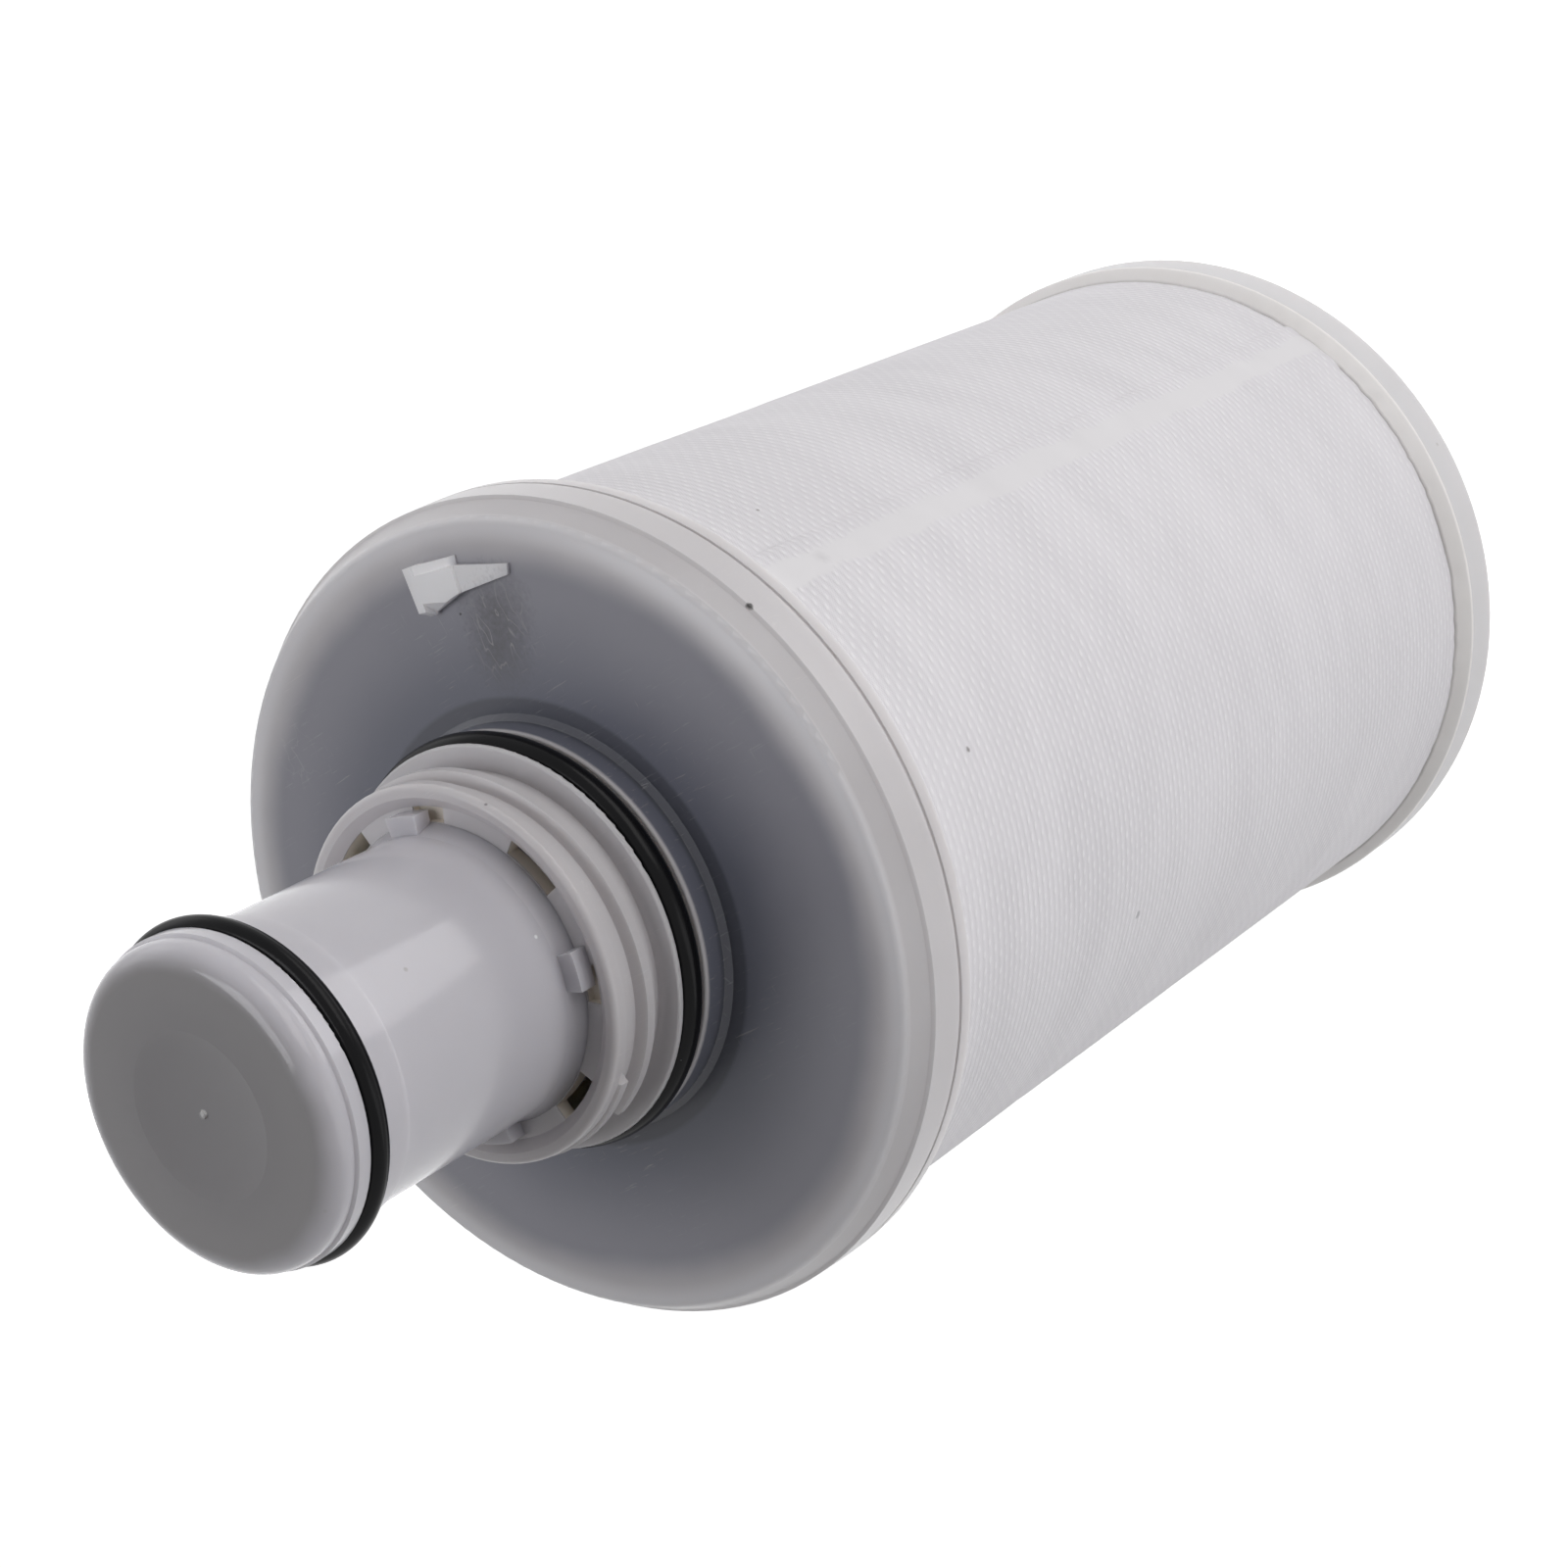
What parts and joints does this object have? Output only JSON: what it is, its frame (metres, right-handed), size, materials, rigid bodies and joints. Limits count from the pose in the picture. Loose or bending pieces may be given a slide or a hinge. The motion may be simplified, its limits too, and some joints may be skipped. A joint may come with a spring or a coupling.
{
  "type": "water purifier filter cartridge",
  "caption": "Upright round filter cartridge: fabric-wrapped carbon block between two white caps, with a threaded collar and a closed sealed nose tube on top.",
  "frame": {"origin": "centre of the flat outer face of the closed rear cap, on the cartridge's axis", "axes": "+Z along the axis from the rear cap to the nose; +X toward the side where the wedge key stands on the cap face"},
  "size_m": [0.125, 0.125, 0.261],
  "materials": {
    "white_plastic": "semi-gloss",
    "nose_plastic": "gloss",
    "black_rubber": "satin",
    "wrap_fabric": "woven mesh, matte",
    "felt": "soft felt",
    "carbon": "pressed grains, matte",
    "core_plastic": "matte",
    "bond": "cast resin",
    "quartz": "clear polished",
    "soft_seal": "satin",
    "lamp_metal": "satin",
    "copper_wire": "enamelled windings",
    "board": "laminate",
    "capacitor": "dipped resin",
    "ferrite": "sintered, matte"
  },
  "bodies": {
    "root": {"outlet_cap": "white_plastic", "nose_housing": "nose_plastic", "rear_cap": "white_plastic", "collar_o_ring": "black_rubber", "nose_o_ring": "black_rubber", "prefilter_wrap": "wrap_fabric", "prefilter_felt": "felt", "carbon_block": "carbon", "core_tube": "core_plastic", "front_bond": "bond", "rear_bond": "bond", "quartz_sleeve": "quartz", "sleeve_seal": "soft_seal", "gland_ring": "core_plastic", "sleeve_foot": "soft_seal", "lamp_spacer": "soft_seal", "lamp_tube": "quartz", "lamp_cap_front": "lamp_metal", "lamp_cap_rear": "lamp_metal", "electrode_front": "lamp_metal", "electrode_rear": "lamp_metal", "lamp_wire": "copper_wire", "lamp_socket": "core_plastic", "circuit_board": "board", "capacitor_left": "capacitor", "capacitor_right": "capacitor", "coil_bobbin": "core_plastic", "pickup_coil": "copper_wire", "ferrite_core": "ferrite"}
  },
  "joints": []
}
